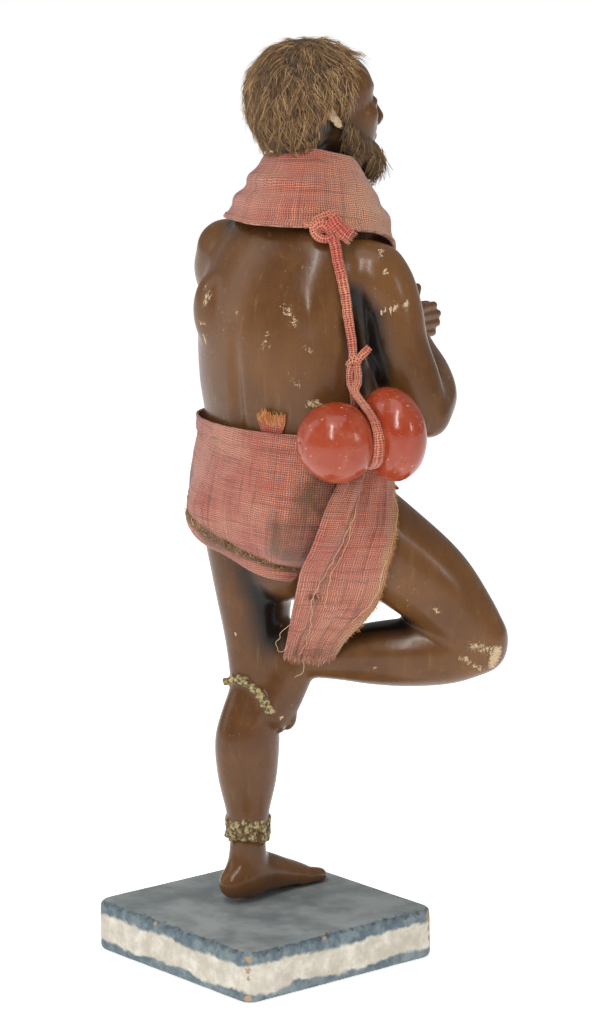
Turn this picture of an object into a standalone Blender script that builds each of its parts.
"""Painted clay figurine of an ascetic balancing on one leg, dressed in real cloth.

The clay figure is pressed together from rolls and balls of clay, as the modeller does it, and
stands on a square painted plinth. Hair, beard, scarf, hip cloth, the hanging flap, the strap
and the double gourd that hangs from it are pieces of their own.

Metres, +Z up. The origin is the middle of the plinth's underside and the figure faces -Y.
The figure is laid out in its own units above its sole: FIGURE_UNITS of them make its height.
"""

import math

import bmesh
import bpy
import numpy as np
from mathutils import Matrix, Vector
from mathutils.bvhtree import BVHTree

# Driving dimensions
PLINTH_SIDE = 0.078
PLINTH_HEIGHT = 0.017
PLINTH_CORNER_RADIUS = 0.0045
PLINTH_EDGE_RADIUS = 0.0022

FIGURE_HEIGHT = 0.274
FIGURE_UNITS = 274.0
UNIT = FIGURE_HEIGHT / FIGURE_UNITS
TORSO_TURN = 10.0
SPINE_DEPTH = -4.0

TOUCH_GAP = 0.00035
LINING_GAP = 0.0006
CLOTH_THICKNESS = 0.0009
HAIR_THICKNESS = 0.0020
BEARD_THICKNESS = 0.0024

STRAP_DIAMETER = 0.0030
GOURD_BACK_RADIUS = 0.0123
GOURD_FRONT_RADIUS = 0.0145
GOURD_WAIST_RADIUS = 0.0074

# Mesh fineness
BODY_VOXEL = 0.0012
DETAIL_VOXEL = 0.00075
FIGURE_TRIANGLES = 4180


def at_sole(x, y, z):
    """A point of the figure, given in its own units above the sole, in the object's frame."""
    return Vector((x * UNIT, y * UNIT, PLINTH_HEIGHT + z * UNIT))


def at_torso(x, y, z):
    """A point of the trunk and arms, which are turned a little to the figure's left."""
    turn = math.radians(TORSO_TURN)
    across = x * math.cos(turn) - (y - SPINE_DEPTH) * math.sin(turn)
    ahead = x * math.sin(turn) + (y - SPINE_DEPTH) * math.cos(turn)
    return at_sole(across, SPINE_DEPTH + ahead, z)


def mirrored(rows):
    """The same stations on the figure's other side."""
    return [(-row[0], *row[1:]) for row in rows]


def spline_rows(rows, steps):
    """Rows of numbers on a Catmull-Rom curve through the given rows, steps for each span."""
    table = np.array(rows, float)
    ends = np.vstack([2 * table[0] - table[1], table, 2 * table[-1] - table[-2]])
    found = []
    for i in range(1, len(ends) - 2):
        before, start, stop, after = ends[i - 1 : i + 3]
        for k in range(steps):
            t = k / steps
            found.append(
                0.5
                * (
                    2 * start
                    + (stop - before) * t
                    + (2 * before - 5 * start + 4 * stop - after) * t**2
                    + (3 * start - before - 3 * stop + after) * t**3
                )
            )
    found.append(table[-1])
    return np.array(found)


def add_roll(bm, rows, side, steps=4, around=20, place=at_sole, bluntness=1.0):
    """A closed roll of clay through stations (x, y, z, half width along side, half depth)."""
    stations = spline_rows(rows, steps)
    points = [place(*station[:3]) for station in stations]
    widths = stations[:, 3:5] * UNIT
    caps = [math.radians(a) for a in (30, 60, 80)]
    rings = []
    for i, point in enumerate(points):
        ahead = points[min(i + 1, len(points) - 1)] - points[max(i - 1, 0)]
        rings.append((point, ahead.normalized(), widths[i]))
    first, last = rings[0], rings[-1]
    round_first = min(first[2]) * bluntness
    round_last = min(last[2]) * bluntness
    rings = (
        [
            (first[0] - first[1] * round_first * math.sin(a), first[1], first[2] * math.cos(a))
            for a in reversed(caps)
        ]
        + rings
        + [
            (last[0] + last[1] * round_last * math.sin(a), last[1], last[2] * math.cos(a))
            for a in caps
        ]
    )
    loops = []
    for point, ahead, (half_width, half_depth) in rings:
        across = (side - ahead * side.dot(ahead)).normalized()
        deep = ahead.cross(across)
        loops.append(
            [
                bm.verts.new(
                    point
                    + across * (half_width * math.cos(turn))
                    + deep * (half_depth * math.sin(turn))
                )
                for turn in (2 * math.pi * k / around for k in range(around))
            ]
        )
    for low, high in zip(loops, loops[1:]):
        for k in range(around):
            j = (k + 1) % around
            bm.faces.new((low[k], low[j], high[j], high[k]))
    bm.faces.new(loops[0][::-1])
    bm.faces.new(loops[-1])


def add_ball(bm, centre, radii, place=at_sole, turn=None):
    """A ball of clay squeezed to three radii, in the figure's units."""
    turned = (turn or Matrix.Identity(3)).to_4x4()
    scale = Matrix.Diagonal((*[r * UNIT for r in radii], 1))
    bmesh.ops.create_icosphere(
        bm,
        subdivisions=3,
        radius=1,
        matrix=Matrix.Translation(place(*centre)) @ turned @ scale,
    )


SIDE = Vector((1, 0, 0))
BACK = Vector((0, 1, 0))
UP = Vector((0, 0, 1))

TORSO = [
    (-3, -5, 112, 16, 13),
    (-3, -5, 120, 27, 20),
    (-3, -5, 130, 33, 23.5),
    (-3, -5.5, 142, 33, 22.5),
    (-2.8, -6, 156, 31.5, 19.5),
    (-2, -6, 170, 33, 20.5),
    (-1.5, -6.5, 186, 32.5, 21.5),
    (-2, -8, 199, 31, 20.5),
    (-2, -9.5, 208, 30, 17.5),
    (-2, -12, 215, 24.5, 14),
    (-2.5, -15, 222, 14.5, 11.8),
    (-2.5, -16.5, 228, 10.6, 10.8),
    (-2, -17.5, 236, 9.8, 10.4),
    (-2, -18, 248, 9, 9),
]
UPPER_ARM = [
    (-22, -11, 207, 9, 9),
    (-31.5, -15, 203.5, 10.6, 10.8),
    (-36, -17, 193.5, 10.2, 10.2),
    (-38.2, -18, 182, 9.8, 10),
    (-42.4, -21.1, 170, 8.8, 8.8),
    (-46, -24, 160.5, 7, 6.9),
]
FOREARM = [
    (-46.5, -24.5, 161, 6.5, 6.5),
    (-41.5, -33, 165.5, 6.9, 7.1),
    (-33, -41.5, 170.5, 6.2, 6.4),
    (-24, -49, 175, 4.9, 5),
    (-16.5, -55, 179, 3.7, 4.2),
]
LEFT_UPPER_ARM = [
    (22, -9, 207, 9, 9),
    (28, -13, 202, 9.8, 10),
    (31, -20, 192, 9.4, 9.6),
    (33, -26, 180, 8.6, 9),
    (35, -33, 168, 7.8, 8),
    (36, -39, 159, 6.6, 6.7),
]
LEFT_FOREARM = [
    (36, -39.5, 159.5, 6.5, 6.5),
    (28, -45.5, 165, 6.9, 7.1),
    (19, -50.5, 170.5, 6.2, 6.4),
    (9, -55, 175.5, 4.9, 5),
    (0, -59, 179.5, 3.7, 4.2),
]
STANDING_LEG = [
    (11, -5, 136, 14, 16),
    (10.6, -4.2, 122, 15, 16.6),
    (8.6, -2.8, 106, 12.6, 13.8),
    (6.4, -1.8, 88, 9.9, 10.6),
    (5.6, -1, 76, 8.3, 8.7),
    (5.4, -0.2, 69, 7.7, 8.1),
    (5.8, 1.2, 60, 8.9, 10),
    (6.1, 2.1, 52, 9.6, 11),
    (6.1, 2, 40, 8.8, 9.8),
    (6, 2, 29, 6.6, 7.2),
    (6, 2, 20, 5.5, 6.1),
    (6, 2.4, 10, 6, 7),
]
STANDING_FOOT = [
    (5.4, 8.6, 6.5, 5, 5.4),
    (5.8, 5, 7.5, 6.4, 7.2),
    (6.8, -1, 8, 6.4, 7.8),
    (8.2, -7.5, 7, 6.6, 6.6),
    (9.4, -13.5, 5.6, 7.3, 5.2),
    (10.4, -19.5, 4.2, 8.2, 4),
    (11.2, -23.5, 3.4, 7.8, 3),
]
RAISED_THIGH = [
    (-13, -6, 134, 17, 18),
    (-19, -13.5, 128, 17.2, 17.6),
    (-29, -26, 117, 15.4, 15.8),
    (-38, -36.5, 106, 13.8, 14.2),
    (-44.5, -44, 95, 11.4, 11.8),
    (-48, -48, 88.5, 9.6, 10),
]
RAISED_SHANK = [
    (-48, -48, 86, 9.4, 9.4),
    (-41, -41.5, 84, 10.6, 10.6),
    (-32, -33, 83.2, 11, 11.2),
    (-23, -25, 82.4, 10, 10.2),
    (-15, -18, 81.4, 8, 8.2),
    (-7.5, -12, 80, 6.2, 6.4),
]
RAISED_FOOT = [
    (-2, -7, 87, 5.6, 5),
    (-3.2, -7.4, 82, 6.8, 5.6),
    (-4.4, -7.8, 76, 7.2, 5.8),
    (-4.2, -6, 70.5, 7.2, 5),
    (-3.6, -3.8, 65, 7.2, 4),
    (-3, -2.2, 61, 6.6, 3.2),
]
MUSCLES = [
    # shoulder blades, buttocks and chest
    ((-19, 5, 191), (10, 6.5, 13)),
    ((14, 5.4, 191), (10.5, 7, 13.5)),
    ((-16, 8, 130), (15, 11, 13)),
    ((8, 7, 130), (14, 10.5, 13)),
    ((-26, -10, 138), (13, 12, 12)),
    ((-14, -21, 195), (12, 6, 9)),
    ((10, -21, 195), (12, 6, 9)),
    ((-31.5, -15, 205), (10.2, 10.4, 9.6)),
    ((25.5, -12, 208), (9.8, 10.4, 9.6)),
]
KNEE_CAPS = [
    ((6, -6.2, 74), (4.6, 4, 5.4)),
    ((-48.8, -49.6, 88), (7, 7, 8)),
]


HEAD_TURN_ANGLE = -6.0
HEAD_TILT_ANGLE = -6.0


def head_place():
    """Puts a point of the head's own frame on the figure: turned to its right, chin raised."""
    yaw = Matrix.Rotation(math.radians(HEAD_TURN_ANGLE), 3, "Z")
    pitch = Matrix.Rotation(math.radians(HEAD_TILT_ANGLE), 3, "X")
    turn = yaw @ pitch
    centre = at_sole(-2.5, -17, 257)
    return turn, lambda x, y, z: centre + turn @ Vector((x, y, z)) * UNIT


HEAD_TURN, AT_HEAD = head_place()

HEAD_BALLS = [
    ((0, 2, 1), (15, 17.6, 16)),
    ((0, 7, -7), (12.4, 10.6, 11)),
    ((0, -9.6, 1.5), (13.4, 11.2, 11.5)),
    ((0, -10, -8), (12, 12.4, 14)),
    ((0, -10.5, -16), (10, 10, 8.5)),
    ((0, -17, -20.5), (5.2, 4.4, 4.4)),
    ((-8, -14, -7), (4.6, 5, 4.4)),
    ((8, -14, -7), (4.6, 5, 4.4)),
]
NOSE = [
    (0, -19.6, -1, 1.9, 1.7),
    (0, -22, -5, 2, 2),
    (0, -24, -9.6, 2.7, 2.4),
]
LEFT_EAR = [
    (14.2, 1, -3.4, 1.2, 1.4),
    (15.8, 3.4, -4.4, 1.3, 2),
    (16.2, 4, -8, 1.3, 2.4),
    (15.2, 2.2, -12, 1.2, 2.2),
    (13.6, 0, -15.6, 1.4, 1.8),
]
# The right ear has broken off to a stub
EAR_STUB = [
    (-13.6, 3.6, -0.6, 1.1, 1.7),
    (-14.4, 2.4, -3.4, 1.3, 1.9),
    (-14, 0.3, -6, 1.2, 1.6),
    (-13.3, -1.5, -8.2, 1, 1.2),
]


def new_object(name, bm, material):
    mesh = bpy.data.meshes.new(name)
    bm.to_mesh(mesh)
    bm.free()
    return object_of(name, mesh, material)


def object_of(name, mesh, material):
    obj = bpy.data.objects.new(name, mesh)
    bpy.context.scene.collection.objects.link(obj)
    mesh.materials.clear()
    if material:
        mesh.materials.append(material)
    return obj


def evaluated_mesh(obj):
    graph = bpy.context.evaluated_depsgraph_get()
    return bpy.data.meshes.new_from_object(obj.evaluated_get(graph), depsgraph=graph)


def add_fusing(obj, voxel, smooth_steps):
    """Fuses overlapping rolls and balls into one skin and rubs the joins smooth."""
    remesh = obj.modifiers.new("fuse", "REMESH")
    remesh.mode = "VOXEL"
    remesh.voxel_size = voxel
    if smooth_steps:
        smooth = obj.modifiers.new("rub", "SMOOTH")
        smooth.factor = 0.5
        smooth.iterations = smooth_steps


def fused(bm, voxel, smooth_steps):
    """The fused skin of a lump of clay, as a plain mesh."""
    obj = new_object("lump", bm, None)
    add_fusing(obj, voxel, smooth_steps)
    mesh = evaluated_mesh(obj)
    bpy.data.objects.remove(obj)
    return mesh


# Lines pressed into the clay or raised on it: points, half width, height (minus is a groove)
STROKES = [
    ([(0, 18, 205), (0, 19, 190), (0, 16, 172), (0, 14, 158), (0, 16, 142)], 4.5, -1.6),
    ([(0, 18, 138), (0, 20, 130), (0, 14, 119)], 3.6, -2.2),
    ([(0, -26, 202), (0, -25, 188), (0, -23, 170)], 4, -0.9),
    ([(-25, -20, 214), (-14, -22, 212), (-4, -23, 210)], 2.6, 0.9),
    ([(25, -20, 214), (14, -22, 212), (4, -23, 210)], 2.6, 0.9),
]
BROWS = [
    ([(-9, -19, 1.5), (-5, -21, 2.6), (-1.5, -21.5, 1.6)], 2.2, 0.7),
    ([(9, -19, 1.5), (5, -21, 2.6), (1.5, -21.5, 1.6)], 2.2, 0.7),
    ([(-8.5, -19, -2.8), (-5, -20.5, -3), (-3.4, -20.5, -3)], 2.4, -1.5),
    ([(8.5, -19, -2.8), (5, -20.5, -3), (3.4, -20.5, -3)], 2.4, -1.5),
]


def press_strokes(mesh, strokes, place):
    """Moves the skin along its normals beside each stroke, as a thumb or a tool would."""
    count = len(mesh.vertices)
    spots = np.empty(count * 3)
    mesh.vertices.foreach_get("co", spots)
    spots = spots.reshape(-1, 3)
    normals = np.array([tuple(n.vector) for n in mesh.vertex_normals])
    shift = np.zeros(count)
    for points, half_width, height in strokes:
        line = np.array([tuple(place(*p)) for p in points])
        reach = half_width * UNIT
        away = np.full(count, np.inf)
        for start, stop in zip(line, line[1:]):
            span = stop - start
            along = np.clip((spots - start) @ span / (span @ span), 0, 1)
            away = np.minimum(
                away, np.linalg.norm(spots - start - along[:, None] * span, axis=1)
            )
        near = np.clip(1 - away / reach, 0, 1)
        shift += height * UNIT * near * near * (3 - 2 * near)
    spots += normals * shift[:, None]
    mesh.vertices.foreach_set("co", spots.ravel())
    mesh.update()


def add_head(bm):
    for centre, radii in HEAD_BALLS:
        add_ball(bm, centre, radii, AT_HEAD, HEAD_TURN)


def add_face(bm):
    """Nose, eyes, lips and ears, which stay crisp."""
    across = HEAD_TURN @ SIDE
    add_roll(bm, NOSE, across, 3, 12, AT_HEAD)
    for side in (-1, 1):
        add_ball(bm, (side * 2.2, -22.2, -10.6), (1.7, 2, 1.5), AT_HEAD, HEAD_TURN)
        add_ball(bm, (side * 5.6, -18, -3.4), (3.1, 2.6, 2), AT_HEAD, HEAD_TURN)
    for rows in (LEFT_EAR, EAR_STUB):
        add_roll(bm, rows, across, 3, 10, AT_HEAD)
    add_roll(
        bm,
        [(-4, -20, -15, 0.8, 0.9), (0, -21.9, -14.6, 1.2, 1.2), (4, -20, -15, 0.8, 0.9)],
        HEAD_TURN @ UP,
        3,
        10,
        AT_HEAD,
    )
    add_roll(
        bm,
        [(-3.4, -19.6, -17, 0.8, 0.9), (0, -21.2, -17.4, 1.3, 1.2), (3.4, -19.6, -17, 0.8, 0.9)],
        HEAD_TURN @ UP,
        3,
        10,
        AT_HEAD,
    )


FINGER_RADIUS = 1.6
FINGERS = [
    # height of the knuckle, height and place of the tip
    (186.6, 187, -15.5),
    (183.7, 184.1, -17.5),
    (180.8, 181.2, -17.2),
    (177.9, 178.3, -15),
]


HAND_PLACE = (-8.0, -58.0, -1.0)


def at_hands(x, y, z):
    return at_torso(HAND_PLACE[0] + x, HAND_PLACE[1] + y, HAND_PLACE[2] + z)


def add_hand(bm, side):
    """One of the two hands laid palm to palm; side is -1 for the figure's right."""
    palm = [
        (side * 8.5, 2, 180, 3.2, 4.4),
        (side * 5.5, -1, 182, 2.4, 5.8),
        (side * 2.6, -4.5, 182.6, 1.7, 6.4),
        (side * 1.9, -7, 182.6, 1.5, 6.2),
    ]
    add_roll(bm, palm, SIDE, 3, 14, at_hands)
    for knuckle, tip, reach in FINGERS:
        middle = (knuckle + tip) / 2 + 0.2
        finger = [
            (side * 2.1, -4, knuckle, 1.5, FINGER_RADIUS),
            (side * 1.7, -10, middle, 1.4, FINGER_RADIUS),
            (side * 1.4, reach, tip, 1.2, FINGER_RADIUS * 0.9),
        ]
        add_roll(bm, finger, SIDE, 2, 8, at_hands)
    thumb = [
        (side * 5.5, 0, 186, 1.9, 1.9),
        (side * 3.2, -3, 190.4, 1.6, 1.8),
        (side * 1.9, -6, 194, 1.4, 1.5),
    ]
    add_roll(bm, thumb, SIDE, 2, 8, at_hands)


TOE_RADII = (2.5, 1.7, 1.65, 1.6, 1.5)


def add_standing_toes(bm):
    """The left foot's toes lie flat on the plinth, the big one towards the middle."""
    offsets = (-5.6, -1.9, 1, 3.7, 6.3)
    tips = (-31, -31.5, -30.5, -29, -26.5)
    for radius, offset, tip in zip(TOE_RADII, offsets, tips):
        toe = [
            (10.4 + offset * 0.9, -20, 3.4, radius, radius * 1.1),
            (11.2 + offset, (tip - 20) / 2, 3, radius * 0.95, radius),
            (12 + offset, tip + radius, 2.1, radius, radius),
        ]
        add_roll(bm, toe, SIDE, 2, 8)


def add_raised_toes(bm):
    """The right foot's toes point down along the standing leg."""
    offsets = (-4.6, -1.6, 0.7, 2.9, 4.9)
    tips = (56, 55.6, 56.6, 58, 60)
    for radius, offset, tip in zip(TOE_RADII, offsets, tips):
        toe = [
            (-3.4, -3.6 + offset * 0.9, 64, radius * 1.05, radius),
            (-3.2, -2.8 + offset, (tip + 64) / 2, radius, radius),
            (-2.6, -2.4 + offset, tip + radius, radius * 0.9, radius),
        ]
        add_roll(bm, toe, SIDE, 2, 8)


REPAIR_ANKLE_HEIGHT = 24.0
REPAIR_KNEE_HEIGHT = 69.0


def add_repairs(bm):
    """Lumpy rings of glue where the standing leg was broken and set again."""
    for i in range(14):
        turn = 2 * math.pi * i / 14
        wobble = math.sin(3 * turn) * 0.6
        add_ball(
            bm,
            (
                6 + 5.9 * math.cos(turn),
                2 + 6.5 * math.sin(turn),
                REPAIR_ANKLE_HEIGHT + wobble,
            ),
            (1.5, 1.5, 3 + 0.4 * math.cos(5 * turn)),
        )
    for i in range(11):
        turn = math.radians(60 + 15 * i)
        add_ball(
            bm,
            (
                6 + 8 * math.cos(turn),
                1.2 + 8.6 * math.sin(turn),
                REPAIR_KNEE_HEIGHT + 3 - 0.9 * i + 0.6 * math.sin(2.5 * i),
            ),
            (1.3, 1.3, 1.2),
        )


def make_figure(material):
    """The whole clay body, fused into one solid and thinned to a modest mesh."""
    bm = bmesh.new()
    add_roll(bm, TORSO, SIDE, 5, 32, at_torso)
    add_roll(bm, STANDING_LEG, SIDE, 4, 24)
    add_roll(bm, STANDING_FOOT, SIDE, 4, 20)
    add_roll(bm, RAISED_THIGH, UP, 4, 24)
    add_roll(bm, RAISED_SHANK, UP, 4, 20)
    add_roll(bm, RAISED_FOOT, BACK, 4, 16)
    for upper, fore in ((UPPER_ARM, FOREARM), (LEFT_UPPER_ARM, LEFT_FOREARM)):
        add_roll(bm, upper, BACK, 4, 20, at_torso)
        add_roll(bm, fore, UP, 4, 16, at_torso)
    for centre, radii in MUSCLES:
        add_ball(bm, centre, radii, at_torso)
    for centre, radii in KNEE_CAPS:
        add_ball(bm, centre, radii)
    add_head(bm)
    body = fused(bm, BODY_VOXEL, 14)
    press_strokes(body, STROKES, at_torso)
    press_strokes(body, BROWS, AT_HEAD)

    bm = bmesh.new()
    bm.from_mesh(body)
    add_face(bm)
    add_hand(bm, -1)
    add_hand(bm, 1)
    add_standing_toes(bm)
    add_raised_toes(bm)
    add_repairs(bm)
    # The sole is cut flat where the clay meets the plinth.
    figure_mesh = fused(bm, DETAIL_VOXEL, 2)
    bm = bmesh.new()
    bm.from_mesh(figure_mesh)
    sole = PLINTH_HEIGHT + TOUCH_GAP
    bmesh.ops.bisect_plane(
        bm,
        geom=bm.verts[:] + bm.edges[:] + bm.faces[:],
        plane_co=(0, 0, sole),
        plane_no=(0, 0, -1),
        clear_outer=True,
    )
    bmesh.ops.holes_fill(bm, edges=[e for e in bm.edges if e.is_boundary], sides=0)
    bmesh.ops.triangulate(bm, faces=bm.faces[:])
    obj = new_object("figure", bm, material)
    thin = obj.modifiers.new("thin", "DECIMATE")
    thin.ratio = FIGURE_TRIANGLES / len(obj.data.polygons)
    obj.data = evaluated_mesh(obj)
    obj.modifiers.clear()
    obj.data.shade_smooth()
    return obj


def skin_tree(*objects):
    """A search tree over the outside of finished pieces."""
    spots = []
    faces = []
    for obj in objects:
        base = len(spots)
        spots.extend(v.co.copy() for v in obj.data.vertices)
        faces.extend([base + i for i in face.vertices] for face in obj.data.polygons)
    return BVHTree.FromPolygons(spots, faces)


def pushed_out(tree, point, clearance):
    """The point itself, or the nearest place that clears the pieces in the tree."""
    for _ in range(4):
        spot, normal, _, distance = tree.find_nearest(point)
        inside = (point - spot).dot(normal) < 0
        if not inside and distance >= clearance:
            break
        away = (point - spot).normalized() if distance > 1e-6 and not inside else normal
        point = spot + away * (clearance * 1.02)
    return point


def sheet_body(name, inner, outer, wrapped, material):
    """A closed shell between two grids of points; wrapped grids close on themselves."""
    bm = bmesh.new()
    layers = [[[bm.verts.new(p) for p in row] for row in grid] for grid in (inner, outer)]
    rows, columns = len(inner), len(inner[0])
    spans = columns if wrapped else columns - 1
    for i in range(rows - 1):
        for k in range(spans):
            j = (k + 1) % columns
            low = layers[0]
            high = layers[1]
            bm.faces.new((low[i][j], low[i][k], low[i + 1][k], low[i + 1][j]))
            bm.faces.new((high[i][k], high[i][j], high[i + 1][j], high[i + 1][k]))
    for i in (0, rows - 1):
        for k in range(spans):
            j = (k + 1) % columns
            edge = (layers[0][i][k], layers[0][i][j], layers[1][i][j], layers[1][i][k])
            bm.faces.new(edge if i == 0 else edge[::-1])
    if not wrapped:
        for k in (0, columns - 1):
            for i in range(rows - 1):
                edge = (layers[0][i][k], layers[0][i + 1][k], layers[1][i + 1][k], layers[1][i][k])
                bm.faces.new(edge[::-1] if k == 0 else edge)
    bmesh.ops.recalc_face_normals(bm, faces=bm.faces[:])
    obj = new_object(name, bm, material)
    obj.data.shade_smooth()
    return obj


def grown_grid(grid, thickness, wrapped):
    """The grid moved outwards along its own normals."""
    spots = np.array([[tuple(p) for p in row] for row in grid])
    if wrapped:
        across = np.roll(spots, -1, 1) - np.roll(spots, 1, 1)
    else:
        across = np.gradient(spots, axis=1)
    down = np.gradient(spots, axis=0)
    normals = np.cross(down, across)
    normals /= np.linalg.norm(normals, axis=2, keepdims=True)
    thick = np.asarray(thickness)
    if thick.ndim == 2:
        thick = thick[:, :, None]
    moved = spots + normals * thick
    return [[Vector(p) for p in row] for row in moved]


def smoothed_grid(grid, passes, wrapped):
    """The grid relaxed towards its neighbours, its outer rows kept."""
    spots = np.array([[tuple(p) for p in row] for row in grid])
    for _ in range(passes):
        if wrapped:
            beside = (np.roll(spots, 1, 1) + np.roll(spots, -1, 1)) / 2
        else:
            beside = spots.copy()
            beside[:, 1:-1] = (spots[:, 2:] + spots[:, :-2]) / 2
        above = spots.copy()
        above[1:-1] = (spots[2:] + spots[:-2]) / 2
        spots = 0.4 * spots + 0.3 * beside + 0.3 * above
    return [[Vector(p) for p in row] for row in spots]


# Hair cap: turn round the head from the brow, and how far down it reaches, in degrees
HAIR_EDGE = [
    (0, 54),
    (30, 56),
    (50, 66),
    (66, 96),
    (76, 110),
    (84, 92),
    (98, 90),
    (112, 116),
    (132, 132),
    (156, 135),
    (180, 135),
]
HAIR_COLUMNS = 32
HAIR_ROWS = 8


def make_hair(tree, material):
    """A cap of glued fibre from the hairline to the nape, cut round the ears."""
    turns, reaches = zip(*HAIR_EDGE)
    inner = []
    centre = AT_HEAD(0, 2, 1)
    for i in range(HAIR_ROWS):
        row = []
        for k in range(HAIR_COLUMNS):
            turn = 360 * k / HAIR_COLUMNS
            reach = np.interp(min(turn, 360 - turn), turns, reaches)
            fall = math.radians(6 + (reach - 6) * i / (HAIR_ROWS - 1))
            side = math.radians(turn)
            way = HEAD_TURN @ Vector(
                (math.sin(side) * math.sin(fall), -math.cos(side) * math.sin(fall), math.cos(fall))
            )
            hit = tree.ray_cast(centre + way * 60 * UNIT, -way, 58 * UNIT)[0]
            row.append(hit + way * LINING_GAP)
        inner.append(row)
    inner = smoothed_grid(inner, 1, True)
    inner = [[pushed_out(tree, p, 1.6 * LINING_GAP) for p in row] for row in inner]
    outer = grown_grid(inner, HAIR_THICKNESS, True)
    crown = HEAD_TURN @ UP
    scalp = tree.ray_cast(centre + crown * 60 * UNIT, -crown, 58 * UNIT)[0]
    bm = bmesh.new()
    layers = [[[bm.verts.new(p) for p in row] for row in grid] for grid in (inner, outer)]
    tips = (
        bm.verts.new(scalp + crown * LINING_GAP),
        bm.verts.new(scalp + crown * (LINING_GAP + HAIR_THICKNESS)),
    )
    for k in range(HAIR_COLUMNS):
        j = (k + 1) % HAIR_COLUMNS
        for side, (grid, tip) in enumerate(zip(layers, tips)):
            bm.faces.new((tip, grid[0][k], grid[0][j]) if side else (tip, grid[0][j], grid[0][k]))
            for i in range(HAIR_ROWS - 1):
                quad = (grid[i][k], grid[i + 1][k], grid[i + 1][j], grid[i][j])
                bm.faces.new(quad if side else quad[::-1])
        rim = (layers[0][-1][k], layers[0][-1][j], layers[1][-1][j], layers[1][-1][k])
        bm.faces.new(rim)
    bmesh.ops.recalc_face_normals(bm, faces=bm.faces[:])
    obj = new_object("hair", bm, material)
    obj.data.shade_smooth()
    return obj


BEARD_COLUMNS = 19
BEARD_ROWS = 6
BEARD_SPREAD = 104.0


def make_beard(tree, material):
    """A short beard along the jaw, thickest under the chin."""
    centre = AT_HEAD(0, -6, -13)
    inner = []
    thickness = []
    for i in range(BEARD_ROWS):
        row = []
        depths = []
        down = i / (BEARD_ROWS - 1)
        for k in range(BEARD_COLUMNS):
            turn = BEARD_SPREAD * (2 * k / (BEARD_COLUMNS - 1) - 1)
            share = abs(turn) / BEARD_SPREAD
            high = -30 + 66 * share**1.5
            low = -52 + 34 * share
            rise = math.radians(high + (low - high) * down)
            side = math.radians(turn)
            way = HEAD_TURN @ Vector(
                (math.sin(side) * math.cos(rise), -math.cos(side) * math.cos(rise), math.sin(rise))
            )
            hit = tree.ray_cast(centre + way * 60 * UNIT, -way, 58 * UNIT)[0]
            row.append(hit + way * LINING_GAP)
            ends = min(1, 4 * (1 - share) + 0.4)
            depths.append(
                BEARD_THICKNESS * ends * (0.5 + 0.9 * math.sin(math.pi * (0.12 + 0.7 * down)))
                * (1 + 0.7 * (1 - share) * down)
            )
        inner.append(row)
        thickness.append(depths)
    inner = smoothed_grid(inner, 1, False)
    inner = [[pushed_out(tree, p, LINING_GAP * 1.3) for p in row] for row in inner]
    outer = grown_grid(inner, thickness, False)
    return sheet_body("beard", inner, outer, False, material)


# Scarf: turn from the front towards the figure's left in degrees, heights of both its edges
SCARF_EDGES = [
    (-50, 229.5, 212),
    (-5, 224.5, 205),
    (40, 225.5, 206),
    (85, 233, 216),
    (130, 239, 220),
    (175, 241, 220),
    (220, 240.5, 220.5),
    (265, 238, 219),
    (310, 229.5, 212),
]
SCARF_NECK = (-3.5, -18.5, 15.6)
SCARF_SPREAD = (-2.5, -16.5, 27)
SCARF_COLUMNS = 30
SCARF_ROWS = 6


def make_scarf(tree, material):
    """A strip of cloth laid round the neck like a shawl collar, resting on the shoulders."""
    turns, tops, bottoms = zip(*SCARF_EDGES)
    inner = []
    for i in range(SCARF_ROWS):
        share = i / (SCARF_ROWS - 1)
        row = []
        for k in range(SCARF_COLUMNS):
            turn = 360 * k / SCARF_COLUMNS
            if turn > 310:
                turn -= 360
            x, y, reach = (
                near + (far - near) * share for near, far in zip(SCARF_NECK, SCARF_SPREAD)
            )
            reach *= 1 + 0.03 * math.sin(4 * math.radians(turn)) * share
            top, bottom = np.interp(turn, turns, tops), np.interp(turn, turns, bottoms)
            height = top + (bottom - top) * (0.25 * share + 0.75 * share**1.3)
            side = math.radians(turn)
            row.append(at_torso(x + reach * math.sin(side), y - reach * math.cos(side), height))
        inner.append(row)
    for _ in range(3):
        inner = [[pushed_out(tree, p, LINING_GAP) for p in row] for row in inner]
        inner = smoothed_grid(inner, 1, True)
    inner = [[pushed_out(tree, p, LINING_GAP) for p in row] for row in inner]
    outer = grown_grid(inner, CLOTH_THICKNESS * 1.3, True)
    return sheet_body("scarf", inner, outer, True, material)


HIP_CLOTH_EASE = 1.3
WAIST_HEIGHT = 157.0
LEG_HEM = ((-2, -4, 111.5), (0.316, 0, -0.949))
THIGH_HEM = ((-31, -20, 125), (-0.52, -0.65, -0.555))
HIP_CLOTH_TRIANGLES = 1100


def eased(rows, ease):
    return [(x, y, z, wide + ease, deep + ease) for x, y, z, wide, deep in rows]


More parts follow.
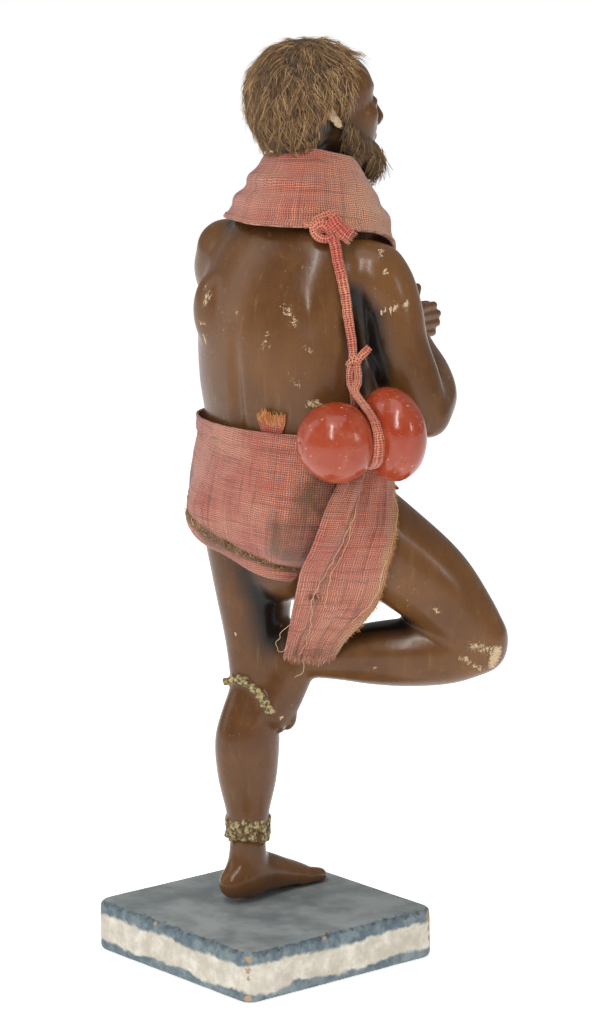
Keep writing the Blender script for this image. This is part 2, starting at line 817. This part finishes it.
def make_loincloth(tree, material):
    """A cloth wrapped tight round the hips and passed between the legs."""
    bm = bmesh.new()
    add_roll(bm, eased(TORSO[:7], HIP_CLOTH_EASE), SIDE, 5, 32, at_torso)
    add_roll(bm, eased(STANDING_LEG[:4], HIP_CLOTH_EASE), SIDE, 4, 24)
    add_roll(bm, eased(RAISED_THIGH[:4], HIP_CLOTH_EASE), UP, 4, 24)
    for centre, radii in MUSCLES[2:5]:
        add_ball(bm, centre, [r + HIP_CLOTH_EASE for r in radii], at_torso)
    add_ball(bm, (-4, -2, 113), (14, 14, 8))
    mesh = fused(bm, BODY_VOXEL * 1.3, 14)
    bm = bmesh.new()
    bm.from_mesh(mesh)
    flat = at_torso(0, 0, WAIST_HEIGHT)
    cuts = [
        (flat, UP),
        (at_sole(*THIGH_HEM[0]), Vector(THIGH_HEM[1])),
        (at_torso(*LEG_HEM[0]), Vector(LEG_HEM[1])),
    ]
    for spot, way in cuts:
        bmesh.ops.bisect_plane(
            bm,
            geom=bm.verts[:] + bm.edges[:] + bm.faces[:],
            plane_co=spot,
            plane_no=way,
            clear_outer=True,
        )
    obj = new_object("loincloth", bm, material)
    thin = obj.modifiers.new("thin", "DECIMATE")
    thin.ratio = HIP_CLOTH_TRIANGLES / 2 / (2 * len(obj.data.polygons))
    obj.data = evaluated_mesh(obj)
    obj.modifiers.clear()
    for vertex in obj.data.vertices:
        vertex.co = pushed_out(tree, vertex.co.copy(), TOUCH_GAP)
    thick = obj.modifiers.new("thick", "SOLIDIFY")
    thick.thickness = CLOTH_THICKNESS
    thick.offset = 1
    thick.use_even_offset = True
    obj.data = evaluated_mesh(obj)
    obj.modifiers.clear()
    obj.data.shade_smooth()
    return obj


# Hanging flap: rows of places from the hip down to the frayed end
FLAP = [
    ((-36.9, 2.3, 142.5), (-38.3, -2.6, 142.1), (-39, -8.2, 141.5),
     (-39.7, -13.9, 140.9), (-38.2, -20, 139.6)),
    ((-36.1, 5.2, 136.2), (-38.4, -0.1, 135.9), (-39.1, -6.6, 135.1),
     (-40, -13.1, 134.4), (-39.4, -19.8, 133.4)),
    ((-35.4, 7.9, 130.1), (-37.8, 1.9, 129.7), (-39.8, -4.7, 129),
     (-42.2, -10.6, 128.5), (-42, -17.4, 127.5)),
    ((-32.9, 9.3, 123.7), (-34.9, 2.5, 123), (-38.3, -3.3, 122.6),
     (-42.2, -8.3, 122.4), (-43.2, -15.4, 121.7)),
    ((-27.8, 8.5, 116.5), (-30.8, 2.2, 116), (-34.6, -3.6, 115.7),
     (-38.8, -9, 115.6), (-42.2, -14.7, 115.5)),
    ((-23.6, 6.6, 109.2), (-27.1, 0.6, 108.9), (-30.8, -5.1, 108.7),
     (-34.9, -10.6, 108.6), (-39.1, -15.9, 108.6)),
    ((-19.5, 4.7, 101.8), (-23.3, -0.6, 101.7), (-27.3, -5.8, 101.6),
     (-31.4, -10.9, 101.6), (-35.7, -15.8, 101.6)),
    ((-15.5, 2.5, 95.3), (-19.2, -1.8, 95.4), (-22.9, -6, 95.4),
     (-26.8, -10.2, 95.4), (-30.7, -14.3, 95.5)),
    ((-11.6, 0.3, 89.2), (-15, -2.9, 89.3), (-18.4, -6.1, 89.4),
     (-21.8, -9.2, 89.6), (-25.3, -12.3, 89.7)),
    ((-7.8, -2, 82.9), (-11.3, -4.3, 81.9), (-14.6, -6.6, 82.2),
     (-18, -9, 82.4), (-21.1, -11.6, 83.9)),
]
TUCKED_END = [
    ((-9.6, 14.2, 162.6), (-12.8, 14.4, 163), (-16, 14, 162.8), (-19.2, 13, 162.4)),
    ((-9.8, 14.2, 159.8), (-12.9, 14.2, 159.8), (-16, 13.6, 159.8), (-18.9, 12.6, 159.8)),
    ((-10, 14, 157.8), (-12.9, 13.9, 157.8), (-15.9, 13.2, 157.8), (-18.7, 12.2, 157.8)),
]


def make_cloth_end(name, table, place, tree, material):
    """A loose end of cloth through a table of places, lifted clear of what it lies on."""
    inner = [[pushed_out(tree, place(*spot), 2 * LINING_GAP) for spot in row] for row in table]
    outer = grown_grid(inner, CLOTH_THICKNESS, False)
    return sheet_body(name, inner, outer, False, material)


# The gourd lies against the hip: middles of its back and front bulbs
GOURD_BACK = (-44.5, 8.1, 157.1)
GOURD_FRONT = (-49.7, -9.4, 158.6)
GOURD_WAIST_SHARE = 0.546
GOURD_PROFILE = [
    # distance along the axis from the back bulb's middle as a share of the bulbs' spacing,
    # radius as a share of the back bulb, waist or front bulb
    (-0.66, "back", 0.16),
    (-0.63, "back", 0.36),
    (-0.51, "back", 0.66),
    (-0.30, "back", 0.91),
    (-0.02, "back", 1),
    (0.20, "back", 0.95),
    (0.335, "back", 0.86),
    (0.42, "back", 0.74),
    (0.475, "waist", 1.08),
    (GOURD_WAIST_SHARE, "waist", 1),
    (0.615, "waist", 1.08),
    (0.66, "front", 0.76),
    (0.76, "front", 0.89),
    (0.95, "front", 1),
    (1.14, "front", 0.96),
    (1.32, "front", 0.80),
    (1.44, "front", 0.56),
    (1.50, "front", 0.32),
    (1.52, "front", 0.14),
]
GOURD_RADII = {
    "back": GOURD_BACK_RADIUS,
    "waist": GOURD_WAIST_RADIUS,
    "front": GOURD_FRONT_RADIUS,
}


def gourd_frame():
    """The gourd's waist, and its directions along the axis, outwards and upwards."""
    back, front = at_sole(*GOURD_BACK), at_sole(*GOURD_FRONT)
    axis = (front - back).normalized()
    out = axis.cross(UP).normalized()
    return back.lerp(front, GOURD_WAIST_SHARE), axis, out, out.cross(axis)


def make_gourd(material):
    rows = []
    for share, part_name, radius in GOURD_PROFILE:
        spot = [b + (f - b) * share for b, f in zip(GOURD_BACK, GOURD_FRONT)]
        rows.append((*spot, *[radius * GOURD_RADII[part_name] / UNIT] * 2))
    bm = bmesh.new()
    add_roll(bm, rows, UP, 1, 18, at_sole, 0.15)
    obj = new_object("double_gourd", bm, material)
    obj.data.shade_smooth()
    return obj


LOW_KNOT = (-37.6, -4.6, 180.4)
LOOP_SIDES = 8
LOOP_START = 48.0
LOOP_END = -175.0
LOOP_TURN_STEP = 18.6
LOOP_KNOT_REACH = 0.0034


def make_loop(material):
    """The strap's loop under the gourd's waist, both strands going up into the lower knot."""
    middle, axis, out, up = gourd_frame()
    radius = GOURD_WAIST_RADIUS * 1.08 + TOUCH_GAP + 0.3 * STRAP_DIAMETER
    knot = at_sole(*LOW_KNOT)
    spots = []
    steps = round((LOOP_START - LOOP_END) / LOOP_TURN_STEP)
    for i in range(steps + 1):
        turn = math.radians(LOOP_START + (LOOP_END - LOOP_START) * i / steps)
        spots.append(middle + (out * math.cos(turn) + up * math.sin(turn)) * radius)
    first = knot + (spots[0] - knot).normalized() * LOOP_KNOT_REACH
    last = knot + (spots[-1] - knot).normalized() * LOOP_KNOT_REACH
    spots = [first, first.lerp(spots[0], 0.5), *spots, last.lerp(spots[-1], 0.5), last]
    rows = [(*spot, 0.42 * STRAP_DIAMETER / UNIT, 0.26 * STRAP_DIAMETER / UNIT) for spot in spots]
    bm = bmesh.new()
    add_roll(bm, rows, axis, 1, LOOP_SIDES, lambda x, y, z: Vector((x, y, z)), 0.2)
    obj = new_object("strap_loop", bm, material)
    obj.data.shade_smooth()
    return obj


STRAP_PATH = [
    (-30, -3.6, 214.6),
    (-31.3, -3.6, 210),
    (-32.8, -4, 204.9),
    (-34, -4.4, 199),
    (-34.6, -4.7, 193.9),
    (-35.6, -4.9, 189),
    (-36.7, -4.9, 183.9),
]


def make_strap(material):
    """The strip of cloth that hangs from the upper knot down to the lower one."""
    curve = bpy.data.curves.new("strap", "CURVE")
    curve.dimensions = "3D"
    curve.bevel_depth = 0.5 * STRAP_DIAMETER
    curve.bevel_resolution = 2
    curve.use_fill_caps = True
    spline = curve.splines.new("POLY")
    spots = [at_sole(*spot) for spot in spline_rows(STRAP_PATH, 2)]
    spline.points.add(len(spots) - 1)
    for point, spot in zip(spline.points, spots):
        point.co = (*spot, 1)
    obj = bpy.data.objects.new("strap", curve)
    bpy.context.scene.collection.objects.link(obj)
    curve.materials.append(material)
    return obj


# Knots: rolls of cloth through places with their half width and half depth
TOP_KNOT_ROLLS = [
    [(-24.5, -1, 222.4, 2, 2.4), (-28.6, -1.6, 220.6, 3, 3.2), (-33.4, -4.6, 219.8, 2.6, 3.4)],
    [(-27, -1, 223, 2, 2), (-29.2, -2.8, 219.6, 2.6, 2.6), (-30, -3.4, 217.2, 1.9, 1.9)],
    [(-30, -3.2, 222, 2, 2.2), (-34, -6.6, 219.6, 2, 3.2), (-37, -9.2, 216.6, 1.4, 3)],
]
LOW_KNOT_ROLLS = [
    [(-37.4, -4.6, 182, 1.3, 1.3), (-38, -4.6, 179.8, 1.5, 1.6)],
    [(-37.6, -3.4, 180.8, 1.2, 1.4), (-38.2, -6.4, 180.6, 1.2, 1.5)],
    [(-38, -5.6, 180.8, 1, 1.3), (-40.4, -9.6, 183.4, 0.8, 1.5), (-42, -11.6, 185.4, 0.7, 1.6)],
]


def make_knot(name, rolls, tree, triangles, material):
    bm = bmesh.new()
    for rows in rolls:
        add_roll(bm, rows, UP, 4, 12)
    mesh = fused(bm, DETAIL_VOXEL, 2)
    obj = object_of(name, mesh, material)
    thin = obj.modifiers.new("thin", "DECIMATE")
    thin.ratio = triangles / 2 / len(mesh.polygons)
    obj.data = evaluated_mesh(obj)
    obj.modifiers.clear()
    for vertex in obj.data.vertices:
        vertex.co = pushed_out(tree, vertex.co.copy(), TOUCH_GAP)
    obj.data.shade_smooth()
    return obj


def make_plinth(material):
    """A square block with round corners and softened edges."""
    bm = bmesh.new()
    bmesh.ops.create_cube(
        bm,
        size=1,
        matrix=Matrix.Translation((0, 0, PLINTH_HEIGHT / 2))
        @ Matrix.Diagonal((PLINTH_SIDE, PLINTH_SIDE, PLINTH_HEIGHT, 1)),
    )
    uprights = [e for e in bm.edges if abs(e.verts[0].co.z - e.verts[1].co.z) > 0.5 * PLINTH_HEIGHT]
    bmesh.ops.bevel(
        bm, geom=uprights, offset=PLINTH_CORNER_RADIUS, segments=4, profile=0.5, affect="EDGES"
    )
    rims = [e for e in bm.edges if abs(e.verts[0].co.z - e.verts[1].co.z) < 1e-6]
    bmesh.ops.bevel(
        bm, geom=rims, offset=PLINTH_EDGE_RADIUS, segments=2, profile=0.5, affect="EDGES"
    )
    obj = new_object("plinth", bm, material)
    obj.data.shade_smooth()
    obj.data.set_sharp_from_angle(angle=math.radians(40))
    return obj


def paint(name, colour, roughness):
    material = bpy.data.materials.new(name)
    material.use_nodes = True
    shader = material.node_tree.nodes["Principled BSDF"]
    shader.inputs["Base Color"].default_value = (*colour, 1)
    shader.inputs["Roughness"].default_value = roughness
    shader.inputs["Metallic"].default_value = 0
    return material


def main():
    for obj in list(bpy.data.objects):
        bpy.data.objects.remove(obj)
    make_plinth(paint("plinth_paint", (0.30, 0.34, 0.37), 0.55))
    figure = make_figure(paint("brown_clay", (0.16, 0.075, 0.035), 0.35))
    skin = skin_tree(figure)
    fibre = paint("straw_fibre", (0.30, 0.20, 0.09), 0.8)
    hair = make_hair(skin, fibre)
    beard = make_beard(skin, fibre)
    cloth = paint("pink_cloth", (0.52, 0.20, 0.15), 0.95)
    scarf = make_scarf(skin_tree(figure, hair, beard), cloth)
    loincloth = make_loincloth(skin, cloth)
    dressed = skin_tree(figure, loincloth)
    make_cloth_end("flap", FLAP, at_sole, dressed, cloth)
    make_cloth_end("tucked_end", TUCKED_END, at_torso, dressed, cloth)
    coral = paint("coral_cloth", (0.60, 0.14, 0.09), 0.95)
    make_gourd(paint("orange_lacquer", (0.45, 0.07, 0.02), 0.3))
    make_loop(coral)
    make_strap(coral)
    backed = skin_tree(figure, scarf)
    make_knot("strap_knot_top", TOP_KNOT_ROLLS, backed, 240, coral)
    make_knot("strap_knot_low", LOW_KNOT_ROLLS, backed, 160, coral)


main()
